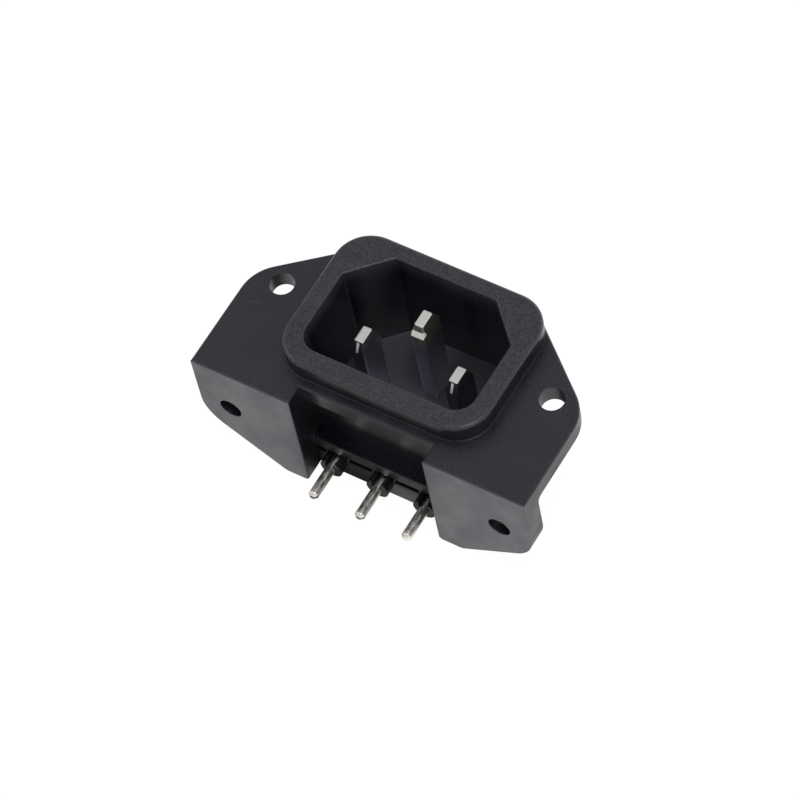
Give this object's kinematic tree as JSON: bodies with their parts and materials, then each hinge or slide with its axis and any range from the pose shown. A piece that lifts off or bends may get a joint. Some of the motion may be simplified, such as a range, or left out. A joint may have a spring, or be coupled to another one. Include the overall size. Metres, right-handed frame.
{
  "type": "panel inlet socket",
  "caption": "Right-angle appliance inlet: keyed hollow shroud on an eared flange, flat blades inside, feet and solder tails for a circuit board.",
  "frame": {"origin": "on the mating axis in the flange's front face, midway between the two panel screw holes", "axes": "+Z out of the panel along the mating axis towards the plug; +X across the flange through both panel screw holes; +Y away from the circuit board. The part lies on its flat rear face with its mouth up."},
  "size_m": [0.0492, 0.0292, 0.0216],
  "materials": {
    "housing_moulding": "fine-grained black flame-retardant thermoplastic",
    "cover_moulding": "fine-grained black flame-retardant thermoplastic",
    "contact_metal": "nickel-plated copper alloy, bright"
  },
  "bodies": {
    "root": {"housing": "housing_moulding", "rear_cover": "cover_moulding", "contact_line": "contact_metal", "contact_neutral": "contact_metal", "contact_earth": "contact_metal"}
  },
  "joints": []
}
